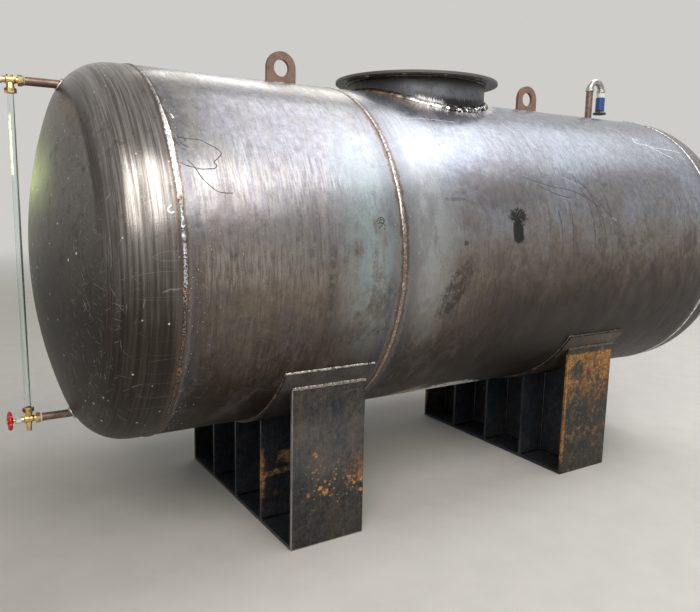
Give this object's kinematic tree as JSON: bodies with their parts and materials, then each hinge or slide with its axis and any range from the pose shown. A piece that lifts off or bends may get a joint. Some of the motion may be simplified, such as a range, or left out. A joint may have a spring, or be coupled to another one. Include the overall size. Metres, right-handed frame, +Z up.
{
  "type": "horizontal pressure tank",
  "caption": "Horizontal steel pressure tank with dished heads on two welded plate saddles, with a flanged top manhole, lifting lugs, a vent and a glass level gauge.",
  "frame": {"origin": "on the floor, below the middle of the whole outline", "axes": "+X along the tank, away from the level gauge; +Y across it, away from the side that the picture shows; +Z up"},
  "size_m": [2.5712, 1.006, 1.4519],
  "materials": {
    "shell_steel": "bare rolled plate with mill scale",
    "head_steel": "bare pressed plate, polished round the knuckle",
    "dark_steel": "dark plate with rust",
    "weld_metal": "bright uneven weld bead",
    "red_oxide": "thin red oxide coat",
    "brown_pipe": "rust-brown pipe",
    "galvanised": "bright zinc",
    "pale_plastic": "pale moulded collar",
    "blue_plastic": "blue moulded body",
    "dark_plastic": "dark moulded lip",
    "brass": "worn cast brass",
    "clear_glass": "clear tube",
    "red_paint": "red enamel"
  },
  "bodies": {
    "tank": {"left_shell_course": "shell_steel", "right_shell_course": "shell_steel", "left_head": "head_steel", "right_head": "head_steel", "left_head_weld": "weld_metal", "middle_weld": "weld_metal", "right_head_weld": "weld_metal", "manhole_neck": "dark_steel", "manhole_flange": "dark_steel", "manhole_weld": "weld_metal", "left_lifting_lug": "red_oxide", "right_lifting_lug": "red_oxide", "vent_riser": "brown_pipe", "vent_return_bend": "galvanised", "vent_collar": "pale_plastic", "vent_body": "blue_plastic", "vent_lip": "dark_plastic", "upper_nipple": "brown_pipe", "lower_nipple": "brown_pipe", "upper_cock": "brass", "lower_cock": "brass", "upper_gland_nut": "brass", "lower_gland_nut": "brass", "upper_packing_nut": "brass", "lower_packing_nut": "brass", "gauge_glass": "clear_glass", "drain_tail": "brass", "left_base_plate": "dark_steel", "left_web": "dark_steel", "left_near_end_plate": "dark_steel", "left_far_end_plate": "dark_steel", "left_ribs": "dark_steel", "left_wear_plate": "dark_steel", "right_base_plate": "dark_steel", "right_web": "dark_steel", "right_near_end_plate": "dark_steel", "right_far_end_plate": "dark_steel", "right_ribs": "dark_steel", "right_wear_plate": "dark_steel"},
    "upper_valve": {"upper_stem": "brass", "upper_handwheel": "red_paint"},
    "lower_valve": {"lower_stem": "brass", "lower_handwheel": "red_paint"}
  },
  "joints": [
    {"name": "upper_valve_turn", "type": "hinge", "parent": "tank", "child": "upper_valve", "pos_m": [-1.27761, 0, 1.226], "axis": [1, 0, 0], "range_deg": [0, 720]},
    {"name": "lower_valve_turn", "type": "hinge", "parent": "tank", "child": "lower_valve", "pos_m": [-1.27761, 0, 0.358], "axis": [1, 0, 0], "range_deg": [0, 720]}
  ]
}
